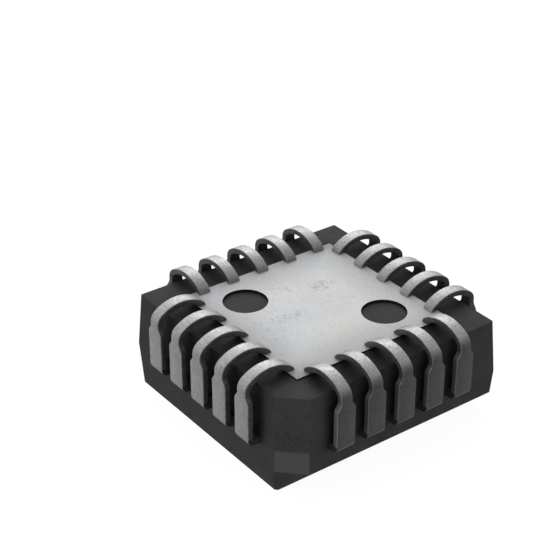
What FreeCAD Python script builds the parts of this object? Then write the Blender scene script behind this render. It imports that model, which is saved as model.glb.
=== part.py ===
import FreeCAD, Part
import math
import os

# A 20-lead moulded chip package with J-leads, lying on its flat top face.
# Millimetres. Origin in the middle of the footprint at the level of the top face, which lies
# down at z = 0. +Z points out of the underside, where the leads curl over.
# The bevelled side with lead 1 faces +X, and the chamfered corner is (+X, -Y).

# Package outline
BODY_MARGIN = 1.93           # last lead of a row to the next side's parting line
BODY_HEIGHT = 3.67           # top face to underside
PARTING_HEIGHT = 1.68        # top face to parting line, the middle of the leads
DRAFT_ANGLE = 3.5            # degrees, both halves of the mould
CORNER_CUT_WIDTH = 0.82      # the index corner, at 45 degrees
CORNER_BREAK = 0.04          # the other three upright corners
BEVEL_HEIGHT = 0.77          # slope along the top edge of the lead 1 side
BEVEL_INSET = 0.74

# Leads
LEADS_PER_SIDE = 5
LEAD_SPACING = 1.27
LEAD_THICKNESS = 0.21
LEG_WIDTH = 0.74             # the upright part
FOOT_WIDTH = 0.44            # the curled part
LEG_CLEARANCE = 0.27         # body to the inner face of a leg, at the parting line
SHOULDER_RADIUS = 0.06       # inner radius where a lead turns along the body
STANDOFF = 0.54              # underside to the seating plane
CURL_DEPTH = 0.10            # how far below the underside a curl starts
CURL_RADIUS = 0.24           # inner radius at both ends of a curl
CURL_GAP = 0.15              # far side of a curl to the last lead of the next row
TAPER_LENGTH = 0.30          # from leg width to foot width
TAPER_DROP = 0.74            # seating plane to the narrow end of the taper
TIP_CLEARANCE = 0.025        # lead tip over the plate

# Light plate let into the underside
PLATE_WIDTH = 6.46
PLATE_THICKNESS = 0.45
PLATE_PROUD = 0.05           # above the underside
PLATE_HOLE_DIAMETER = 1.60
PLATE_HOLE_OFFSET = 1.71     # along X and Y from the middle, on one diagonal
HOLE_RECESS = 0.11           # plate surface down to the compound in a hole

# Leadframe, die and wires inside
FINGER_TIP_WIDTH = 0.38
FINGER_TIP_LENGTH = 0.40
FINGER_GAP = 0.25            # die pad to finger tip
DIE_PAD_WIDTH = 3.30
TIE_BAR_WIDTH = 0.30
TIE_BAR_GAP = 0.18           # to the corners of the leads beside a tie bar
TIE_BAR_COVER = 0.40         # compound over the end of a tie bar
ATTACH_THICKNESS = 0.03
ATTACH_MARGIN = 0.05         # die attach shows round the die
DIE_WIDTH = 2.40
DIE_THICKNESS = 0.30
BOND_INSET = 0.12            # bond pad to its own edge of the die
BOND_CORNER = 0.32           # last bond pad of a row to the next edge of the die
WIRE_DIAMETER = 0.03
WIRE_FLATS = 6               # flat sides that stand for a wire's round section
LOOP_HEIGHT = 0.18           # a wire's top over the die
LOOP_DROP = 0.12             # how much lower the loop is at the lead end

# Worked out from the sizes above
DRAFT = math.tan(math.radians(DRAFT_ANGLE))
LEADS = 4 * LEADS_PER_SIDE
LAST_PLACE = (LEADS_PER_SIDE - 1) / 2
ROW_HALF = LAST_PLACE * LEAD_SPACING
BODY_WIDTH = 2 * (ROW_HALF + BODY_MARGIN)
SEATING_HEIGHT = BODY_HEIGHT + STANDOFF
LEG_OUTER = BODY_WIDTH / 2 + LEG_CLEARANCE + LEAD_THICKNESS
CURL_LENGTH = LEG_OUTER - ROW_HALF - FOOT_WIDTH / 2 - CURL_GAP
PLATE_TOP = BODY_HEIGHT + PLATE_PROUD
PLATE_FLOOR = PLATE_TOP - PLATE_THICKNESS
HOLE_FLOOR = PLATE_TOP - HOLE_RECESS
FRAME_LOW = PARTING_HEIGHT - LEAD_THICKNESS / 2
TIE_BAR_ROOM = math.sqrt(2) * (TIE_BAR_WIDTH / 2 + TIE_BAR_GAP)
FINGER_START = ROW_HALF + LEG_WIDTH / 2 + TIE_BAR_ROOM
FINGER_END = DIE_PAD_WIDTH / 2 + FINGER_GAP
FINGER_TIP_PITCH = (FINGER_END - TIE_BAR_ROOM - FINGER_TIP_WIDTH / 2) / LAST_PLACE
BOND_PITCH = (DIE_WIDTH / 2 - BOND_CORNER) / LAST_PLACE
ATTACH_LOW = FRAME_LOW - ATTACH_THICKNESS
DIE_LOW = ATTACH_LOW - DIE_THICKNESS
UP = FreeCAD.Vector(0, 0, 1)
SPARE = 1.0                  # how far a cutting solid runs past what it cuts


def half_width(z):
    """Half the body's width at a height, widest at the parting line."""
    return BODY_WIDTH / 2 - abs(z - PARTING_HEIGHT) * DRAFT


def section(z):
    """The body's outline at a height: a square with one large and three small corner cuts."""
    half = half_width(z)
    points = []
    for turn in range(4):
        cut = CORNER_CUT_WIDTH if turn == 0 else CORNER_BREAK
        for x, y in ((half - cut, -half), (half, -half + cut)):
            point = FreeCAD.Vector(x, y, z)
            points.append(FreeCAD.Rotation(UP, 90 * turn).multVec(point))
    return Part.makePolygon(points + points[:1])


def prism(points, length):
    """A straight prism from an outline in the XZ plane, centred on y = 0."""
    corners = [FreeCAD.Vector(x, -length / 2, z) for x, z in points]
    face = Part.Face(Part.makePolygon(corners + corners[:1]))
    return face.extrude(FreeCAD.Vector(0, length, 0))


def slab(points, low, thickness):
    """A flat plate from an outline in the XY plane."""
    corners = [FreeCAD.Vector(x, y, low) for x, y in points]
    face = Part.Face(Part.makePolygon(corners + corners[:1]))
    return face.extrude(FreeCAD.Vector(0, 0, thickness))


def block(width, low, thickness):
    """A square plate centred on the axis."""
    corner = FreeCAD.Vector(-width / 2, -width / 2, low)
    return Part.makeBox(width, width, thickness, corner)


def turned(shape, degrees):
    return shape.rotated(FreeCAD.Vector(0, 0, 0), UP, degrees)


def bevel_cutter():
    """What the slope takes off along the +X edge of the top face."""
    outer = half_width(BEVEL_HEIGHT)
    inner = half_width(0) - BEVEL_INSET
    slope = (outer - inner) / BEVEL_HEIGHT
    outline = [
        (inner - SPARE * slope, -SPARE),
        (outer, BEVEL_HEIGHT),
        (outer + SPARE, BEVEL_HEIGHT),
        (outer + SPARE, -SPARE),
    ]
    return prism(outline, 2 * BODY_WIDTH)


def body_outline():
    """The outside of the moulding, before anything is let into it."""
    top_half = Part.makeLoft([section(0), section(PARTING_HEIGHT)], True, True)
    lower_half = Part.makeLoft([section(PARTING_HEIGHT), section(BODY_HEIGHT)], True, True)
    return top_half.fuse(lower_half).cut(bevel_cutter())


def hole_cylinders(low, height):
    """Two cylinders on the plate's diagonal, at its holes."""
    cylinders = []
    for side in (-1, 1):
        foot = FreeCAD.Vector(side * PLATE_HOLE_OFFSET, side * PLATE_HOLE_OFFSET, low)
        cylinders.append(Part.makeCylinder(PLATE_HOLE_DIAMETER / 2, height, foot))
    return cylinders


def underside_plate():
    plate = block(PLATE_WIDTH, PLATE_FLOOR, PLATE_THICKNESS)
    return plate.cut(hole_cylinders(PLATE_FLOOR - SPARE, PLATE_THICKNESS + 2 * SPARE))


def on_circle(centre, radius, degrees):
    angle = math.radians(degrees)
    x = centre[0] + radius * math.cos(angle)
    z = centre[1] + radius * math.sin(angle)
    return FreeCAD.Vector(x, 0, z)


def arc(centre, radius, start, end):
    middle = on_circle(centre, radius, (start + end) / 2)
    return Part.Arc(on_circle(centre, radius, start), middle, on_circle(centre, radius, end))


def lead_profile():
    """Side view of a lead: root, shoulder, leg and the curl over the underside, uncut.

    The curl is a three-arc oval: a tight arc at each end and a flat crown between them.
    """
    thick = LEAD_THICKNESS
    half = CURL_LENGTH / 2
    ends = CURL_RADIUS + thick
    turn = SHOULDER_RADIUS + thick
    rise = STANDOFF + CURL_DEPTH
    base = BODY_HEIGHT - CURL_DEPTH
    crown = ((half - ends) ** 2 + rise ** 2 - ends ** 2) / (2 * (rise - ends))
    join = math.degrees(math.atan2(crown - rise, half - ends))
    shoulder = (LEG_OUTER - turn, FRAME_LOW + turn)
    near = (LEG_OUTER - ends, base)
    top = (LEG_OUTER - half, SEATING_HEIGHT - crown)
    far = (LEG_OUTER - CURL_LENGTH + ends, base)
    curves = [
        arc(shoulder, turn, -90, 0),
        arc(near, ends, 0, join),
        arc(top, crown, join, 180 - join),
        arc(far, ends, 180 - join, 180),
        arc(far, CURL_RADIUS, 180, 180 - join),
        arc(top, crown - thick, 180 - join, join),
        arc(near, CURL_RADIUS, join, 0),
        arc(shoulder, SHOULDER_RADIUS, 0, -90),
    ]
    root_low = FreeCAD.Vector(FINGER_START, 0, FRAME_LOW)
    root_high = FreeCAD.Vector(FINGER_START, 0, FRAME_LOW + thick)
    edges = [Part.LineSegment(root_low, curves[0].StartPoint).toShape()]
    for index, curve in enumerate(curves):
        edges.append(curve.toShape())
        following = curves[index + 1].StartPoint if index + 1 < len(curves) else root_high
        if curve.EndPoint.distanceToPoint(following) > 1e-6:
            edges.append(Part.LineSegment(curve.EndPoint, following).toShape())
    edges.append(Part.LineSegment(root_high, root_low).toShape())
    return Part.Face(Part.Wire(edges))


def taper_cutter(side):
    """What narrows one flank of a lead from its leg to its curl."""
    narrow = SEATING_HEIGHT - TAPER_DROP
    outline = [
        (LEG_WIDTH / 2, narrow - TAPER_LENGTH),
        (FOOT_WIDTH / 2, narrow),
        (FOOT_WIDTH / 2, SEATING_HEIGHT + SPARE),
        (LEG_WIDTH / 2 + SPARE, SEATING_HEIGHT + SPARE),
        (LEG_WIDTH / 2 + SPARE, narrow - TAPER_LENGTH),
    ]
    cutter = prism([(side * x, z) for x, z in outline], 2 * LEG_OUTER)
    return turned(cutter, 90)


def tip_cutter():
    """What ends a lead's tip level, just over the plate."""
    inner = LEG_OUTER - CURL_LENGTH - SPARE
    outer = LEG_OUTER - CURL_LENGTH / 2
    high = PLATE_TOP + TIP_CLEARANCE
    low = high - SPARE
    return prism([(inner, low), (outer, low), (outer, high), (inner, high)], 2 * LEG_WIDTH)


def formed_lead():
    """The outer part of every lead, on the +X side and centred on y = 0."""
    face = lead_profile().translated(FreeCAD.Vector(0, -LEG_WIDTH / 2, 0))
    blank = face.extrude(FreeCAD.Vector(0, LEG_WIDTH, 0))
    return blank.cut([taper_cutter(-1), taper_cutter(1), tip_cutter()])


def finger(place):
    """The part of a lead inside the body, which fans in to the die pad."""
    along = place * LEAD_SPACING
    tip = place * FINGER_TIP_PITCH
    land = FINGER_END + FINGER_TIP_LENGTH
    outline = [
        (FINGER_START, along - LEG_WIDTH / 2),
        (FINGER_START, along + LEG_WIDTH / 2),
        (land, tip + FINGER_TIP_WIDTH / 2),
        (FINGER_END, tip + FINGER_TIP_WIDTH / 2),
        (FINGER_END, tip - FINGER_TIP_WIDTH / 2),
        (land, tip - FINGER_TIP_WIDTH / 2),
    ]
    return slab(outline, FRAME_LOW, LEAD_THICKNESS)


def side_and_place(number):
    """The side that a lead is on, counted clockwise from +X, and its place along that side.

    Lead 1 is the middle one of the bevelled side, and the count runs past the index corner.
    """
    count = (number - 1 + LEADS_PER_SIDE // 2) % LEADS
    place = LAST_PLACE - count % LEADS_PER_SIDE
    return count // LEADS_PER_SIDE, place


def lead(number, formed):
    side, place = side_and_place(number)
    outer = formed.translated(FreeCAD.Vector(0, place * LEAD_SPACING, 0))
    whole = outer.fuse(finger(place)).removeSplitter()
    return turned(whole, -90 * side)


def bond_wire(number):
    """A wire from the die to a lead finger: up, across and down, with mitred bends."""
    side, place = side_and_place(number)
    bond = (DIE_WIDTH / 2 - BOND_INSET, place * BOND_PITCH)
    land = (FINGER_END + FINGER_TIP_LENGTH / 2, place * FINGER_TIP_PITCH)
    loop = DIE_LOW - LOOP_HEIGHT
    points = [
        FreeCAD.Vector(bond[0], bond[1], DIE_LOW),
        FreeCAD.Vector(bond[0], bond[1], loop),
        FreeCAD.Vector(land[0], land[1], loop + LOOP_DROP),
        FreeCAD.Vector(land[0], land[1], FRAME_LOW),
    ]
    rim = []
    for flat in range(WIRE_FLATS + 1):
        spoke = FreeCAD.Vector(WIRE_DIAMETER / 2, 0, 0)
        rim.append(points[0] + FreeCAD.Rotation(UP, 360 * flat / WIRE_FLATS).multVec(spoke))
    mitred = 1
    path = Part.makePolygon(points)
    wire = path.makePipeShell([Part.makePolygon(rim)], True, False, mitred)
    return turned(wire, -90 * side)


def die_pad():
    """The paddle that carries the die, with a tie bar to each corner of the body."""
    pad = block(DIE_PAD_WIDTH, FRAME_LOW, LEAD_THICKNESS)
    corner = (BODY_WIDTH - CORNER_CUT_WIDTH) / math.sqrt(2)
    reach = corner - TIE_BAR_COVER
    bars = []
    for turn in range(2):
        place = FreeCAD.Vector(-reach, -TIE_BAR_WIDTH / 2, FRAME_LOW)
        bar = Part.makeBox(2 * reach, TIE_BAR_WIDTH, LEAD_THICKNESS, place)
        bars.append(turned(bar, 45 + 90 * turn))
    return pad.fuse(bars).removeSplitter()


def mould_body(inside, plate):
    """The moulding, with a seat for everything that it holds."""
    body = body_outline().cut(inside + [plate])
    body = body.cut(hole_cylinders(HOLE_FLOOR, SPARE))
    return body.removeSplitter()


def save(shape, name):
    solids = shape.Solids
    if len(solids) != 1 or not shape.isValid():
        raise ValueError("%s: %d solids, valid %s" % (name, len(solids), shape.isValid()))
    solids[0].exportStep("parts/%s.step" % name)
    print("%-18s %9.4f mm3" % (name, solids[0].Volume))


def main():
    os.makedirs("parts", exist_ok=True)
    formed = formed_lead()
    numbers = range(1, LEADS + 1)
    inner = {
        "die_pad": die_pad(),
        "die_attach": block(DIE_WIDTH + 2 * ATTACH_MARGIN, ATTACH_LOW, ATTACH_THICKNESS),
        "die": block(DIE_WIDTH, DIE_LOW, DIE_THICKNESS),
    }
    for number in numbers:
        inner["lead_%02d" % number] = lead(number, formed)
        inner["bond_wire_%02d" % number] = bond_wire(number)
    plate = underside_plate()
    save(mould_body(list(inner.values()), plate), "mould_body")
    save(plate, "underside_plate")
    for name in inner:
        save(inner[name], name)


main()
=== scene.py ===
import math

import bmesh
import bpy
from mathutils import Matrix, Vector


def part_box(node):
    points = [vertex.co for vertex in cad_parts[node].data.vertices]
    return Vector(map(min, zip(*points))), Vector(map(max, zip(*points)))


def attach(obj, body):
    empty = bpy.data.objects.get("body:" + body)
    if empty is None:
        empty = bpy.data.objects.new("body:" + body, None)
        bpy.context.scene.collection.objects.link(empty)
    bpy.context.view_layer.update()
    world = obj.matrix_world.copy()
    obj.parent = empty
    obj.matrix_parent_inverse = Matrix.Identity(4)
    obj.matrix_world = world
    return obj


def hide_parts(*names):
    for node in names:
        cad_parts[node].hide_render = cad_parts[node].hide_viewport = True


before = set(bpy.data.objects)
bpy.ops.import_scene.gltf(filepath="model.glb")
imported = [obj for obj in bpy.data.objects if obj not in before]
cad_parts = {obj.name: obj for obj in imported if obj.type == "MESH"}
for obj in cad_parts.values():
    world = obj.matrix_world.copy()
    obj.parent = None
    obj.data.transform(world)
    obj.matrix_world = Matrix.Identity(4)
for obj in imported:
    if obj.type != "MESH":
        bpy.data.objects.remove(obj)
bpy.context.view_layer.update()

# Looks of the moulded chip package: metres, in the CAD's own frame. It lies on its flat top
# face at z = 0 with its leads curled over the underside, which faces up.
MM = 0.001

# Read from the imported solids
body_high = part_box("mould_body")[1]
plate_low, plate_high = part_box("underside_plate")
lead_low, lead_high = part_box("lead_01")
BODY_HALF = body_high.x
BODY_HEIGHT = body_high.z
PLATE_HALF = plate_high.x
PLATE_FLOOR = plate_low.z
PLATE_TOP = plate_high.z
LEG_OUTER = lead_high.x
SEATING_HEIGHT = lead_high.z
FRAME_LOW = lead_low.z
FINGER_END = lead_low.x
LEG_WIDTH = lead_high.y - lead_low.y
LEAD_SPACING = lead_low.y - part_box("lead_02")[0].y

# Sizes that the boxes don't give, the same as in the part's source
LEADS_PER_SIDE = 5
LEAD_NUMBERS = range(1, 4 * LEADS_PER_SIDE + 1)
PARTING_HEIGHT = 1.68 * MM
DRAFT = math.tan(math.radians(3.5))
CORNER_CUT_WIDTH = 0.82 * MM
CORNER_BREAK = 0.04 * MM
BEVEL_HEIGHT = 0.77 * MM
BEVEL_INSET = 0.74 * MM
LEAD_THICKNESS = 0.21 * MM
FOOT_WIDTH = 0.44 * MM
SHOULDER_RADIUS = 0.06 * MM
CURL_DEPTH = 0.10 * MM
CURL_RADIUS = 0.24 * MM
CURL_GAP = 0.15 * MM
TAPER_LENGTH = 0.30 * MM
TAPER_DROP = 0.74 * MM
TIP_CLEARANCE = 0.025 * MM
HOLE_RADIUS = 0.80 * MM
HOLE_OFFSET = 1.71 * MM
HOLE_RECESS = 0.11 * MM
FINGER_START = 3.377 * MM
FINGER_TIP_WIDTH = 0.38 * MM
FINGER_TIP_LENGTH = 0.40 * MM
FINGER_TIP_PITCH = 0.6217 * MM

# Finish of the visible pieces' edges and joints
EDGE_ROUND = 0.018 * MM      # moulded edges
LEAD_EDGE_ROUND = 0.020 * MM
TIP_ROUND = 0.012 * MM
SEAT_GAP = 0.008 * MM        # hairline round the plate and the leads
ROOM = 2.0 * MM              # how far a cutting solid runs past what it cuts

# How finely curves are divided
HOLE_SEGMENTS = 96
EDGE_SEGMENTS = 3
TIP_SEGMENTS = 2
ARC_STEPS = 12               # a lead's shoulder, and the narrow arcs of its curl
CREST_STEPS = 16             # the wide arc of its curl
TAPER_STEPS = 10
CORNER_STEPS = 3             # a rounded corner of its section

# Limits in metres and degrees
TOLERANCE = 1e-9
LEVEL_TOLERANCE = 1e-8
FLAT_DEGREES = 0.5           # faces that meet at less are one flat
ROUNDED_DEGREES = 5          # moulded edges that turn more are rounded
MOULD_SHARP_DEGREES = 32     # edges that turn more stay sharp in the shading
SHARP_DEGREES = 40
NORMAL_WEIGHT = 60           # how much large faces count in the smooth shading


def new_object(name, data):
    piece = bpy.data.objects.new(name, data)
    bpy.context.scene.collection.objects.link(piece)
    return piece


def mesh_from(bm, name):
    bmesh.ops.recalc_face_normals(bm, faces=bm.faces[:])
    mesh = bpy.data.meshes.new(name)
    bm.to_mesh(mesh)
    bm.free()
    return mesh


def bake_modifiers(piece):
    """Puts the result of a piece's modifiers into its mesh."""
    graph = bpy.context.evaluated_depsgraph_get()
    mesh = bpy.data.meshes.new_from_object(piece.evaluated_get(graph))
    piece.modifiers.clear()
    old, piece.data = piece.data, mesh
    bpy.data.meshes.remove(old)


def dress(piece, *materials):
    """Gives a piece its materials, the first one all over."""
    piece.data.materials.clear()
    for material in materials:
        piece.data.materials.append(material)
    for face in piece.data.polygons:
        face.material_index = 0


def smooth(piece, sharp_degrees):
    """Smooth shading that keeps sharp edges and flat faces as they are."""
    mesh = piece.data
    bm = bmesh.new()
    bm.from_mesh(mesh)
    for face in bm.faces:
        face.smooth = True
    for edge in bm.edges:
        angle = edge.calc_face_angle(math.pi) if edge.is_manifold else math.pi
        edge.smooth = angle < math.radians(sharp_degrees)
    bm.to_mesh(mesh)
    bm.free()
    weighted = piece.modifiers.new("weighted normals", "WEIGHTED_NORMAL")
    weighted.keep_sharp = True
    weighted.weight = NORMAL_WEIGHT


def subtract(piece, cutters):
    """Cuts other objects out of a piece and then removes them."""
    for cutter in cutters:
        cut = piece.modifiers.new("cut", "BOOLEAN")
        cut.operation = "DIFFERENCE"
        cut.solver = "MANIFOLD"
        cut.object = cutter
    bake_modifiers(piece)
    for cutter in cutters:
        bpy.data.objects.remove(cutter)


def block(name, low, high):
    bm = bmesh.new()
    bmesh.ops.create_cube(bm, size=1.0)
    for vertex in bm.verts:
        for axis in range(3):
            vertex.co[axis] = high[axis] if vertex.co[axis] > 0 else low[axis]
    return new_object(name, mesh_from(bm, name))


def hole_cylinders(name, low, high, radius):
    """An upright cylinder in each of the plate's two holes."""
    cylinders = []
    for side in (-1, 1):
        bm = bmesh.new()
        place = Matrix.Translation((side * HOLE_OFFSET, side * HOLE_OFFSET, (low + high) / 2))
        bmesh.ops.create_cone(bm, cap_ends=True, segments=HOLE_SEGMENTS, radius1=radius,
                              radius2=radius, depth=high - low, matrix=place)
        cylinders.append(new_object(name, mesh_from(bm, name)))
    return cylinders


# Moulded body

def half_width(z):
    return BODY_HALF - abs(z - PARTING_HEIGHT) * DRAFT


def body_planes():
    """A point and an outward normal for every flat of the moulding's outside."""
    planes = [
        (Vector((0, 0, 0)), Vector((0, 0, -1))),
        (Vector((0, 0, BODY_HEIGHT)), Vector((0, 0, 1))),
    ]
    for turn in range(4):
        turned = Matrix.Rotation(math.radians(90 * turn), 3, "Z")
        cut = CORNER_CUT_WIDTH if turn == 0 else CORNER_BREAK
        side = Vector((BODY_HALF, 0, PARTING_HEIGHT))
        corner = Vector((BODY_HALF - cut / 2, cut / 2 - BODY_HALF, PARTING_HEIGHT))
        for up in (-1, 1):
            planes.append((turned @ side, turned @ Vector((1, 0, up * DRAFT))))
            planes.append((turned @ corner, turned @ Vector((1, -1, up * 2 * DRAFT))))
    outer = half_width(BEVEL_HEIGHT)
    inner = half_width(0) - BEVEL_INSET
    planes.append((Vector((outer, 0, BEVEL_HEIGHT)), Vector((BEVEL_HEIGHT, 0, inner - outer))))
    return planes


def body_shell():
    """The moulding's outside: a cube cut by each of its planes, with its edges rounded."""
    bm = bmesh.new()
    bmesh.ops.create_cube(bm, size=4 * BODY_HALF)
    for point, normal in body_planes():
        everything = bm.verts[:] + bm.edges[:] + bm.faces[:]
        bmesh.ops.bisect_plane(bm, geom=everything, dist=TOLERANCE, plane_co=point,
                               plane_no=normal.normalized(), clear_outer=True)
        rim = [edge for edge in bm.edges if edge.is_boundary]
        bmesh.ops.holes_fill(bm, edges=rim)
    bmesh.ops.dissolve_limit(bm, angle_limit=math.radians(FLAT_DEGREES), verts=bm.verts[:],
                             edges=bm.edges[:])
    shell = new_object("moulded_body", mesh_from(bm, "moulded_body"))
    rounding = shell.modifiers.new("rounding", "BEVEL")
    rounding.width = EDGE_ROUND
    rounding.segments = EDGE_SEGMENTS
    rounding.limit_method = "ANGLE"
    rounding.angle_limit = math.radians(ROUNDED_DEGREES)
    bake_modifiers(shell)
    return shell


def lead_seats():
    """A slot for each lead where it leaves the moulding, a hair wider than the lead."""
    half = LEG_WIDTH / 2 + SEAT_GAP
    low, high = FRAME_LOW - SEAT_GAP, FRAME_LOW + LEAD_THICKNESS + SEAT_GAP
    seats = []
    for number in LEAD_NUMBERS:
        side, place = place_of(number)
        middle = place * LEAD_SPACING
        near, far = (FINGER_START, middle - half), (2 * BODY_HALF, middle + half)
        for turn in range(side):
            near, far = (near[1], -far[0]), (far[1], -near[0])
        seats.append(block("slot", (*near, low), (*far, high)))
    return seats


def plate_seat():
    """The pocket under the plate, round the two bosses that fill its holes."""
    half = PLATE_HALF + SEAT_GAP
    seat = block("seat", (-half, -half, PLATE_FLOOR), (half, half, BODY_HEIGHT + ROOM))
    subtract(seat, hole_cylinders("boss", PLATE_FLOOR - ROOM, PLATE_TOP - HOLE_RECESS,
                                  HOLE_RADIUS - SEAT_GAP))
    return seat


# Leads

def place_of(number):
    """The side that a lead is on, counted clockwise from +X, and its place along it."""
    count = (number - 1 + LEADS_PER_SIDE // 2) % (4 * LEADS_PER_SIDE)
    return count // LEADS_PER_SIDE, (LEADS_PER_SIDE - 1) / 2 - count % LEADS_PER_SIDE


def lead_path():
    """Stations along a lead from its inner end to its tip, each a point and an outward normal.

    The second value is where the crest of its curl is.
    """
    thick = LEAD_THICKNESS
    middle = thick / 2
    ends = CURL_RADIUS + thick
    turn = SHOULDER_RADIUS + thick
    rise = SEATING_HEIGHT - BODY_HEIGHT + CURL_DEPTH
    base = BODY_HEIGHT - CURL_DEPTH
    length = LEG_OUTER - (LEADS_PER_SIDE - 1) / 2 * LEAD_SPACING - FOOT_WIDTH / 2 - CURL_GAP
    half = length / 2
    crown = ((half - ends) ** 2 + rise ** 2 - ends ** 2) / (2 * (rise - ends))
    join = math.degrees(math.atan2(crown - rise, half - ends))
    narrow = SEATING_HEIGHT - TAPER_DROP
    past_tip = 181           # the curl is cut level a little before it gets there
    stations = []

    def straight(start, stop, count, normal):
        for step in range(count):
            share = step / count
            x = start[0] + (stop[0] - start[0]) * share
            z = start[1] + (stop[1] - start[1]) * share
            stations.append(((x, z), normal))

    def arc(centre, radius, start, stop, count):
        for step in range(count):
            angle = math.radians(start + (stop - start) * step / count)
            normal = (math.cos(angle), math.sin(angle))
            x = centre[0] + radius * normal[0]
            z = centre[1] + radius * normal[1]
            stations.append(((x, z), normal))

    level = FRAME_LOW + middle
    leg = LEG_OUTER - middle
    land = FINGER_END + FINGER_TIP_LENGTH
    down, out = (0, -1), (1, 0)
    straight((FINGER_END, level), (land, level), 1, down)
    straight((land, level), (FINGER_START, level), 3, down)
    straight((FINGER_START, level), (LEG_OUTER - turn, level), 2, down)
    arc((LEG_OUTER - turn, FRAME_LOW + turn), turn - middle, -90, 0, ARC_STEPS)
    straight((leg, FRAME_LOW + turn), (leg, narrow - TAPER_LENGTH), 4, out)
    straight((leg, narrow - TAPER_LENGTH), (leg, narrow), TAPER_STEPS, out)
    straight((leg, narrow), (leg, base), 2, out)
    arc((LEG_OUTER - ends, base), ends - middle, 0, join, ARC_STEPS)
    arc((LEG_OUTER - half, SEATING_HEIGHT - crown), crown - middle, join, 180 - join,
        CREST_STEPS)
    arc((LEG_OUTER - length + ends, base), ends - middle, 180 - join, past_tip, ARC_STEPS)
    return stations, LEG_OUTER - half


def taper(x, z):
    """Half the lead's width, and how far its middle has fanned out, from 0 to 1."""
    start = SEATING_HEIGHT - TAPER_DROP - TAPER_LENGTH
    land = FINGER_END + FINGER_TIP_LENGTH
    if x > FINGER_START - TOLERANCE:
        if x < LEG_OUTER - LEAD_THICKNESS and z < SEATING_HEIGHT / 2:
            return LEG_WIDTH / 2, 1.0
        share = min(max((z - start) / TAPER_LENGTH, 0.0), 1.0)
        share = share * share * (3 - 2 * share)
        return (LEG_WIDTH + (FOOT_WIDTH - LEG_WIDTH) * share) / 2, 1.0
    if z > SEATING_HEIGHT / 2:
        return FOOT_WIDTH / 2, 1.0
    share = min(max((x - land) / (FINGER_START - land), 0.0), 1.0)
    return (FINGER_TIP_WIDTH + (LEG_WIDTH - FINGER_TIP_WIDTH) * share) / 2, share


def section(half, thickness, radius):
    """A rectangle with rounded corners, as (sideways, outwards) pairs."""
    points = []
    for quarter in range(4):
        middle_x = (half - radius) * (1 if quarter in (0, 3) else -1)
        middle_y = (thickness / 2 - radius) * (1 if quarter < 2 else -1)
        for step in range(CORNER_STEPS + 1):
            angle = math.radians(90 * quarter + 90 * step / CORNER_STEPS)
            points.append((middle_x + radius * math.cos(angle),
                           middle_y + radius * math.sin(angle)))
    return points


# A lead's tones. FACE is its outer tin face; the others are the tin with painted shade and light,
# FLANK on its rougher sheared sides. ROOT is its flanks and inner face from the moulding to the
# end of the shoulder.
FACE, FLANK, INNER, EDGE, ROOT = range(5)

# The strips of its skin, in the order of the section's points
STRIPS = (EDGE, EDGE, FACE, FACE, FACE, EDGE, EDGE, FLANK,
          FLANK, INNER, INNER, INNER, INNER, INNER, FLANK, FLANK)


def lead_mesh(place):
    """One lead of the +X side, a strip swept along its path and cut level at its tip."""
    stations, crest = lead_path()
    bm = bmesh.new()
    rings = []
    for (x, z), (nx, nz) in stations:
        half, fan = taper(x, z)
        y = place * (FINGER_TIP_PITCH + (LEAD_SPACING - FINGER_TIP_PITCH) * fan)
        ring = []
        for sideways, outwards in section(half, LEAD_THICKNESS, LEAD_EDGE_ROUND):
            point = (x + outwards * nx, y + sideways, z + outwards * nz)
            ring.append(bm.verts.new(point))
        rings.append(ring)
    around = len(STRIPS)
    root = next(number for number, station in enumerate(stations) if station[1] == (1, 0))
    for number, (before, after) in enumerate(zip(rings, rings[1:])):
        for index, strip_tone in enumerate(STRIPS):
            following = (index + 1) % around
            face = bm.faces.new((before[index], before[following], after[following],
                                 after[index]))
            face.material_index = ROOT if number < root and strip_tone != FACE else strip_tone
    bm.faces.new(rings[0])
    bm.faces.new(rings[-1])
    far = [face for face in bm.faces if face.calc_center_median().x < crest
           and face.calc_center_median().z > SEATING_HEIGHT / 2]
    # A dictionary keeps its order, and so the mesh comes out the same in every run
    parts = dict.fromkeys(part for face in far for part in [*face.verts, *face.edges])
    level = PLATE_TOP + TIP_CLEARANCE
    bmesh.ops.bisect_plane(bm, geom=[*parts, *far], dist=TOLERANCE, plane_co=(0, 0, level),
                           plane_no=(0, 0, -1), clear_outer=True)
    rim = [edge for edge in bm.edges if edge.is_boundary]
    bmesh.ops.holes_fill(bm, edges=rim)
    cap = [edge for edge in bm.edges if edge.is_valid and edge.is_manifold
           and all(abs(v.co.z - level) < LEVEL_TOLERANCE for v in edge.verts)]
    bmesh.ops.bevel(bm, geom=cap, offset=TIP_ROUND, segments=TIP_SEGMENTS, profile=0.5,
                    affect="EDGES", clamp_overlap=True)
    return bm


def make_lead(number):
    side, place = place_of(number)
    bm = lead_mesh(place)
    turned = Matrix.Rotation(math.radians(-90 * side), 4, "Z")
    bmesh.ops.transform(bm, matrix=turned, verts=bm.verts[:])
    name = "formed_lead_%02d" % number
    return new_object(name, mesh_from(bm, name))


# Materials. Lengths in them are in millimetres, and noise scales are per millimetre. Noise stays
# near 0.3 to 0.7, so the two limits given for it say how much of it shows and how sharply.

def grey(tone):
    return tone, tone, tone


BLACK, WHITE = grey(0.0), grey(1.0)
SPOT_CORE = 0.35             # share of an oval spot's reach within which it is full


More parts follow.
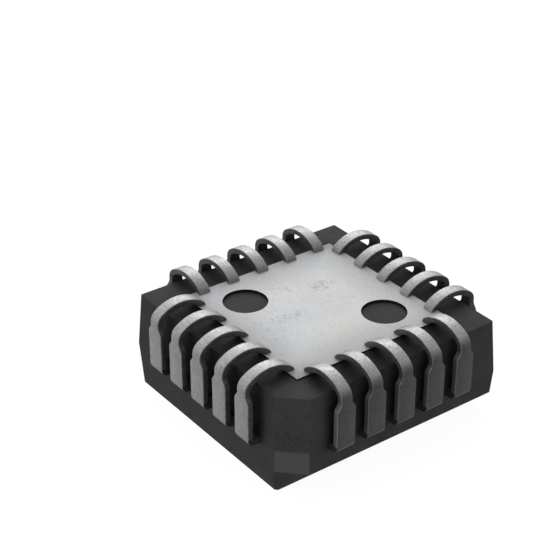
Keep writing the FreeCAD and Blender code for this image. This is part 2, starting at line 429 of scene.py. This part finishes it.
class Nodes:
    """A material, and short names for building its nodes."""

    def __init__(self, name):
        self.material = bpy.data.materials.new(name)
        self.material.use_nodes = True
        self.tree = self.material.node_tree
        self.shader = self.tree.nodes["Principled BSDF"]
        place = self.add("ShaderNodeTexCoord")
        self.place, self.normal = place.outputs["Object"], place.outputs["Normal"]

    def add(self, kind, **values):
        node = self.tree.nodes.new(kind)
        for name, value in values.items():
            setattr(node, name, value)
        return node

    def link(self, source, target):
        self.tree.links.new(source, target)

    def feed(self, value, socket):
        """Links a value that another node gives, and otherwise sets the socket's own."""
        if hasattr(value, "is_linked"):
            self.link(value, socket)
        elif isinstance(value, tuple):
            socket.default_value = (*value, 1.0)
        else:
            socket.default_value = value

    def stretched(self, scale):
        mapping = self.add("ShaderNodeMapping")
        mapping.inputs["Scale"].default_value = scale
        self.link(self.place, mapping.inputs["Vector"])
        return mapping.outputs["Vector"]

    def noise(self, per_mm, detail, roughness, vector=None):
        node = self.add("ShaderNodeTexNoise")
        node.inputs["Scale"].default_value = per_mm / MM
        node.inputs["Detail"].default_value = detail
        node.inputs["Roughness"].default_value = roughness
        self.link(vector or self.place, node.inputs["Vector"])
        return node.outputs["Fac"]

    def spread(self, value, low, high, out_low, out_high):
        """Goes smoothly from out_low to out_high while a value goes from low to high."""
        node = self.add("ShaderNodeMapRange", interpolation_type="SMOOTHSTEP")
        for index, number in enumerate((low, high, out_low, out_high)):
            node.inputs[index + 1].default_value = number
        self.link(value, node.inputs[0])
        return node.outputs[0]

    def blend(self, share, first, second, mode="MIX"):
        node = self.add("ShaderNodeMix", data_type="RGBA", blend_type=mode)
        for value, socket in ((share, 0), (first, 6), (second, 7)):
            self.feed(value, node.inputs[socket])
        return node.outputs[2]

    def mark(self, colour, mark, pattern, low, high, share=1.0):
        """Blends a mark into a colour, by at most a share, as a pattern goes from low to high."""
        return self.blend(self.spread(pattern, low, high, 0.0, share), colour, mark)

    def math(self, operation, first, second=0.0):
        node = self.add("ShaderNodeMath", operation=operation)
        self.feed(first, node.inputs[0])
        self.feed(second, node.inputs[1])
        return node.outputs[0]

    def product(self, first, *others):
        for other in others:
            first = self.math("MULTIPLY", first, other)
        return first

    def zones(self):
        """How far a point is from the middle, outwards and along its side, and its height."""
        apart = self.add("ShaderNodeSeparateXYZ")
        self.link(self.place, apart.inputs[0])
        x, y, z = (self.math("MULTIPLY", axis, 1 / MM) for axis in apart.outputs)
        x, y = self.math("ABSOLUTE", x), self.math("ABSOLUTE", y)
        return self.math("MAXIMUM", x, y), self.math("MINIMUM", x, y), z

    def spot(self, centre, reach):
        """1 in the middle of an oval on the XY plane, and 0 outside it."""
        mapping = self.add("ShaderNodeMapping")
        scale = [1 / (length * MM) for length in reach]
        mapping.inputs["Scale"].default_value = (*scale, 0.0)
        mapping.inputs["Location"].default_value = (-centre[0] / reach[0],
                                                    -centre[1] / reach[1], 0.0)
        self.link(self.place, mapping.inputs["Vector"])
        node = self.add("ShaderNodeVectorMath", operation="LENGTH")
        self.link(mapping.outputs["Vector"], node.inputs[0])
        return self.spread(node.outputs["Value"], SPOT_CORE, 1.0, 1.0, 0.0)

    def facing(self, direction, low, high):
        """1 where the piece's surface faces a direction of its own axes, and 0 elsewhere."""
        node = self.add("ShaderNodeVectorMath", operation="DOT_PRODUCT")
        self.link(self.normal, node.inputs[0])
        node.inputs[1].default_value = direction
        return self.spread(node.outputs["Value"], low, high, 0.0, 1.0)

    def bump(self, height, depth):
        node = self.add("ShaderNodeBump")
        node.inputs["Distance"].default_value = depth * MM
        self.link(height, node.inputs["Height"])
        self.link(node.outputs["Normal"], self.shader.inputs["Normal"])

    def shade(self, **values):
        for name, value in values.items():
            self.feed(value, self.shader.inputs[name.replace("_", " ")])


# Where the moulding's painted shade, painted light and mottle change, and between which
# millimetres
PAST_ROW = (2.66, 3.33)          # along a side, past its last lead
AT_WALL = (3.1, 3.3)             # out from the middle, at the side walls
ABOVE_SHOULDER = (1.35, 1.75)    # up, from the leads' shoulders on
ABOVE_FOOT = (0.76, 0.82)        # up, over the index corner's foot
AT_PARTING = (1.60, 1.75)        # up, at the parting line
ABOVE_PARTING = (1.75, 1.95)
# Painted shade: how much tone the walls by the leads and the level faces lose
UNDER_TOP = (2.7, 3.4)           # up, below the underside's edge
RECESS_PAINTED_SHADE = 0.54              # how much of its tone the wall behind the leads loses
LEVEL_PAINTED_SHADE = 0.18               # and the level faces


def compound_material(name, dark, light, with_painted_light):
    """Moulding compound, with or without the painted shade, light and mottle of the body's
    outside.
    """
    nodes = Nodes(name)
    grain = nodes.noise(14.0, 4.0, 0.65)
    cloud = nodes.noise(0.9, 3.0, 0.55)
    mix = nodes.math("ADD", nodes.product(grain, 0.45), nodes.product(cloud, 0.55))
    tone = nodes.mark(dark, light, mix, 0.36, 0.64)
    if with_painted_light:
        tone = mould_painted_light_and_mottle(nodes, tone)
    nodes.shade(Base_Color=tone, Roughness=nodes.spread(grain, 0.3, 0.7, 0.55, 0.72),
                Specular_IOR_Level=0.18)
    nodes.bump(grain, 0.006)
    return nodes.material


def mould_painted_light_and_mottle(nodes, tone):
    """Painted shade by the leads and on level faces, painted light and mottle at the index
    corner.
    """
    outwards, along, height = nodes.zones()
    # Painted shade on the side walls along each row of leads, from the shoulders up
    painted_recess_shade = nodes.product(nodes.spread(along, *PAST_ROW, RECESS_PAINTED_SHADE, 0.0),
                           nodes.spread(outwards, *AT_WALL, 0.0, 1.0),
                           nodes.spread(height, *ABOVE_SHOULDER, 0.0, 1.0))
    tone = nodes.blend(painted_recess_shade, tone, BLACK)
    # Painted shade on the level faces
    level = nodes.facing((0.0, 0.0, 1.0), 0.97, 1.0)
    tone = nodes.blend(nodes.product(level, LEVEL_PAINTED_SHADE), tone, BLACK)

    # The index corner has a band of painted light under the parting line, and pale mottle over
    # it, and dark mottle among that up to below the underside's edge
    corner = nodes.facing((0.7071, -0.7071, 0.0), 0.93, 0.99)
    painted_light_band = nodes.product(nodes.spread(height, *ABOVE_FOOT, 0.0, 1.0),
                         nodes.spread(height, *AT_PARTING, 1.0, 0.0))
    tone = nodes.blend(nodes.product(corner, painted_light_band), tone, grey(0.105))
    upper = nodes.product(corner, nodes.spread(height, *ABOVE_PARTING, 0.0, 1.0))
    mottle = nodes.spread(nodes.noise(9.0, 4.0, 0.75), 0.44, 0.58, 0.0, 0.50)
    tone = nodes.blend(nodes.product(upper, mottle), tone, grey(0.066))
    upper = nodes.product(upper, nodes.spread(height, *UNDER_TOP, 1.0, 0.0))
    mottle = nodes.spread(nodes.noise(14.0, 3.0, 0.75), 0.51, 0.60, 0.0, 0.52)
    return nodes.blend(nodes.product(upper, mottle), tone, grey(0.012))


# The plate's rubbed places: middle and reach along X and Y
SCUFFS = (((0.05, -1.15), (0.42, 0.95)), ((-0.97, 1.15), (0.45, 0.85)))

# Where painted shade darkens the plate: out from the middle, and both ways from it added up
SHADE_NEAR_RIM = (1.2, 3.3)
SHADE_NEAR_CORNER = (4.9, 6.4)


def ceramic_material():
    nodes = Nodes("plate_ceramic")
    cloud = nodes.noise(0.55, 5.0, 0.62)
    grain = nodes.noise(7.0, 4.0, 0.6)
    tone = nodes.mark((0.76, 0.77, 0.79), (0.86, 0.86, 0.87), cloud, 0.35, 0.66)
    tone = nodes.mark(tone, grey(0.90), grain, 0.36, 0.64, 0.35)
    tone = nodes.mark(tone, grey(0.30), nodes.noise(13.0, 3.0, 0.7), 0.50, 0.66, 0.22)
    tint = nodes.mark((0.97, 0.985, 1.0), (1.0, 0.99, 0.965), nodes.noise(0.22, 1.0, 0.5),
                      0.42, 0.58)
    tone = nodes.blend(1.0, tone, tint, "MULTIPLY")
    outwards, along = nodes.zones()[:2]
    # Painted shade towards the rim and the corners, under the leads' curls
    tone = nodes.mark(tone, grey(0.20), outwards, *SHADE_NEAR_RIM, 0.42)
    tone = nodes.mark(tone, grey(0.20), nodes.math("ADD", outwards, along), *SHADE_NEAR_CORNER, 0.50)
    specks = nodes.noise(5.5, 2.0, 0.5)
    patches = nodes.noise(0.45, 2.0, 0.5, nodes.stretched((1.0, 1.7, 1.0)))
    speckle = nodes.product(nodes.spread(specks, 0.62, 0.68, 0.0, 0.5),
                            nodes.spread(patches, 0.52, 0.62, 0.0, 1.0))
    tone = nodes.blend(speckle, tone, (0.41, 0.405, 0.39))
    scratches = nodes.spread(nodes.noise(9.0, 4.0, 0.7), 0.48, 0.62, 0.0, 0.58)
    for centre, reach in SCUFFS:
        rubbed = nodes.product(scratches, nodes.spot(centre, reach))
        tone = nodes.blend(rubbed, tone, (0.36, 0.36, 0.34))
    nodes.shade(Base_Color=tone, Roughness=nodes.spread(cloud, 0.3, 0.7, 0.42, 0.58),
                Specular_IOR_Level=0.4)
    nodes.bump(nodes.math("ADD", grain, cloud), 0.006)
    return nodes.material


# Where a lead's tone changes: its painted light fades up its leg, its flecks grow where the curl
# begins, and painted shade darkens it towards its tip
FRONT_LEVEL = (2.9, 3.6)
CURL_LEVEL = (2.6, 3.3)
TIP_SHADE = (2.91, 3.91)

# A lead's tin and painted shades in the order of FACE to ROOT: name, darkest and lightest tone,
# roughness, how metallic it is, and the tone painted as light on flanks that face -Y where that
# is another
LEAD_TIN_AND_PAINTED_SHADES = (
    ("lead_tin", (0.62, 0.62, 0.63), grey(0.73), 0.50, 1.0),
    # Rough sheared sides: their dark tone is painted shade, their -Y tone painted light
    ("lead_sheared_edge", grey(0.11), grey(0.17), 0.50, 0.55, grey(0.25)),
    # The inner face, rounded edges and root: the tin painted darker as shade, the edges less so
    ("lead_inner_face", grey(0.12), grey(0.18), 0.55, 0.6),
    ("lead_worn_edge", grey(0.30), grey(0.42), 0.45, 0.25),
    ("lead_root", grey(0.035), grey(0.055), 0.60, 0.3),
)


def lead_material(name, dark, light, rough, metallic, painted_front_light=None):
    nodes = Nodes(name)
    grain = nodes.noise(18.0, 3.0, 0.6)
    tone = nodes.mark(dark, light, nodes.noise(7.0, 5.0, 0.7), 0.34, 0.66)
    outwards, _, height = nodes.zones()
    # Painted light on the flanks that face -Y, fading up the leg
    if painted_front_light:
        share = nodes.product(nodes.facing((0.0, -1.0, 0.0), 0.5, 0.9),
                              nodes.spread(height, *FRONT_LEVEL, 1.0, 0.25))
        tone = nodes.blend(share, tone, painted_front_light)
    flecks = nodes.product(nodes.spread(grain, 0.44, 0.62, 0.0, 0.20),
                           nodes.spread(height, *CURL_LEVEL, 0.3, 1.0))
    tone = nodes.blend(flecks, tone, BLACK)
    drawn = nodes.noise(16.0, 2.0, 0.5, nodes.stretched((1.0, 1.0, 0.15)))
    tone = nodes.mark(tone, BLACK, drawn, 0.42, 0.66, 0.07)
    # Painted shade, growing towards the tip
    tone = nodes.blend(nodes.spread(outwards, *TIP_SHADE, 0.25, 0.0), tone, BLACK)
    nodes.shade(Base_Color=tone, Metallic=metallic,
                Roughness=nodes.spread(grain, 0.3, 0.7, rough - 0.06, rough + 0.08))
    nodes.bump(grain, 0.0012)
    return nodes.material


def inner_material(name, colour, metallic, rough):
    nodes = Nodes(name)
    grain = nodes.noise(9.0, 3.0, 0.5)
    darker = tuple(part * 0.85 for part in colour)
    nodes.shade(Base_Color=nodes.blend(grain, darker, colour), Metallic=metallic,
                Roughness=rough)
    nodes.bump(grain, 0.002)
    return nodes.material


def floor_material():
    """Nearly white by its own light, so that only soft shade shows on it."""
    nodes = Nodes("floor")
    nodes.shade(Base_Color=grey(0.12), Roughness=0.9, Specular_IOR_Level=0.0,
                Emission_Color=WHITE, Emission_Strength=0.95)
    return nodes.material


# The visible pieces

body = body_shell()
leads = [make_lead(number) for number in LEAD_NUMBERS]
subtract(body, [plate_seat()] + lead_seats())
dress(body, compound_material("mould_compound", (0.051, 0.051, 0.052), grey(0.069), True))
smooth(body, MOULD_SHARP_DEGREES)

plate = block("light_plate", plate_low, plate_high)
subtract(plate, hole_cylinders("hole", PLATE_FLOOR - ROOM, PLATE_TOP + ROOM, HOLE_RADIUS))
# The plate's up faces are ceramic; its walls and other faces are a near black of painted shade
dress(plate, ceramic_material(),
      compound_material("plate_wall_painted_shade", grey(0.010), grey(0.016), False))
for face in plate.data.polygons:
    face.material_index = 0 if face.normal.z > 0.5 else 1
smooth(plate, SHARP_DEGREES)

lead_tones = [lead_material(*values) for values in LEAD_TIN_AND_PAINTED_SHADES]
for number, lead in zip(LEAD_NUMBERS, leads):
    for strip_tone in lead_tones:
        lead.data.materials.append(strip_tone)
    smooth(lead, SHARP_DEGREES)
    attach(lead, "root")
    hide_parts("lead_%02d" % number)

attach(body, "root")
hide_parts("mould_body")
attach(plate, "root")
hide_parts("underside_plate")

# The pieces sealed inside keep their CAD solids. Bond wires have a number after their name.
inner = {
    "die_pad": inner_material("leadframe_copper", (0.75, 0.50, 0.36), 1.0, 0.35),
    "die_attach": inner_material("attach_silver", (0.60, 0.60, 0.58), 0.6, 0.5),
    "die": inner_material("die_silicon", (0.30, 0.31, 0.35), 0.4, 0.2),
    "bond_wire": inner_material("wire_gold", (0.90, 0.70, 0.30), 1.0, 0.25),
}
for name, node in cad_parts.items():
    material = inner.get(name) or inner.get(name.rpartition("_")[0])
    if material:
        for slot in node.material_slots:
            slot.material = material
        if not node.material_slots:
            node.data.materials.append(material)


# Floor, light and camera

FLOOR_HALF = 1.0
FLOOR_LOW = -0.012
FLOOR_HIGH = -0.01 * MM

floor = block("floor", (-FLOOR_HALF, -FLOOR_HALF, FLOOR_LOW),
              (FLOOR_HALF, FLOOR_HALF, FLOOR_HIGH))
floor.data.materials.append(floor_material())
floor.visible_diffuse = False
floor.visible_glossy = False

# Soft studio light: bright along an axis above and to the left of the camera, dim against it.
# The steps are a direction's share of that axis, from 0 to 1, and the light's strength there.
SKY_AXIS = (-0.85, 0.05, 0.52)
SKY_STEPS = ((0.0, 0.05), (0.09, 0.075), (0.19, 0.095), (0.30, 0.16), (0.48, 0.29),
             (0.65, 0.44), (0.78, 0.49), (0.915, 0.64), (1.0, 0.80))


def studio_world():
    """The studio's light. The camera itself sees plain white."""
    world = bpy.data.worlds.new("studio")
    world.use_nodes = True
    tree = world.node_tree
    new, link = tree.nodes.new, tree.links.new
    lean = new("ShaderNodeVectorMath")
    lean.operation = "DOT_PRODUCT"
    lean.inputs[1].default_value = SKY_AXIS
    link(new("ShaderNodeTexCoord").outputs["Generated"], lean.inputs[0])
    share = new("ShaderNodeMapRange")
    share.inputs["From Min"].default_value = -1.0
    link(lean.outputs["Value"], share.inputs[0])
    ramp = new("ShaderNodeValToRGB")
    ramp.color_ramp.interpolation = "B_SPLINE"
    elements = ramp.color_ramp.elements
    for position, _ in SKY_STEPS[1:-1]:
        elements.new(position)
    for element, (position, strength) in zip(elements, SKY_STEPS):
        element.color = (*grey(strength), 1.0)
    link(share.outputs[0], ramp.inputs[0])
    light = tree.nodes["Background"]
    light.inputs["Color"].default_value = (*WHITE, 1.0)
    link(ramp.outputs[0], light.inputs["Strength"])
    backdrop = new("ShaderNodeBackground")
    backdrop.inputs["Color"].default_value = (*WHITE, 1.0)
    seen = new("ShaderNodeMixShader")
    link(new("ShaderNodeLightPath").outputs["Is Camera Ray"], seen.inputs[0])
    link(light.outputs[0], seen.inputs[1])
    link(backdrop.outputs[0], seen.inputs[2])
    link(seen.outputs[0], tree.nodes["World Output"].inputs["Surface"])
    return world


LIGHT_DISTANCE = 0.12

# Softboxes: name, azimuth from -Y towards +X, elevation, side, radiance, whether gloss shows it
SOFTBOXES = (
    ("key", -126, 34, 0.08, 1.2, True),
    ("top", -150, 75, 0.08, 0.85, False),
    ("fill", 80, 5, 0.12, 1.8, False),
    ("side", -10, 15, 0.08, 1.15, False),
)


def softbox(name, azimuth, elevation, size, radiance, glossy):
    """A square area light that faces the part."""
    data = bpy.data.lights.new(name, "AREA")
    data.shape = "SQUARE"
    data.size = size
    data.energy = radiance * math.pi * size * size
    light = new_object(name, data)
    a, e = math.radians(azimuth), math.radians(elevation)
    back = Vector((math.sin(a) * math.cos(e), -math.cos(a) * math.cos(e), math.sin(e)))
    light.location = back * LIGHT_DISTANCE + Vector((0, 0, BODY_HEIGHT / 2))
    light.rotation_mode = "QUATERNION"
    light.rotation_quaternion = back.to_track_quat("Z", "Y")
    light.visible_glossy = glossy


bpy.context.scene.world = studio_world()
for values in SOFTBOXES:
    softbox(*values)

# The photograph's camera, turned by the yaw from +Y towards -X
CAMERA_PLACE = Vector((35.517, -28.163, 31.119)) * MM
YAW, PITCH_DOWN = math.radians(53.311), math.radians(29.992)
LENS, SENSOR_WIDTH = 100.20, 36.0
CLIP_START, CLIP_END = 0.001, 10.0

camera_data = bpy.data.cameras.new("camera")
camera_data.sensor_width = SENSOR_WIDTH
camera_data.lens = LENS
camera_data.clip_start = CLIP_START
camera_data.clip_end = CLIP_END
camera = new_object("camera", camera_data)
camera.location = CAMERA_PLACE
forward = Vector((-math.sin(YAW) * math.cos(PITCH_DOWN), math.cos(YAW) * math.cos(PITCH_DOWN),
                  -math.sin(PITCH_DOWN)))
camera.rotation_mode = "QUATERNION"
camera.rotation_quaternion = forward.to_track_quat("-Z", "Y")
bpy.context.scene.camera = camera
bpy.context.scene.view_settings.view_transform = "Standard"
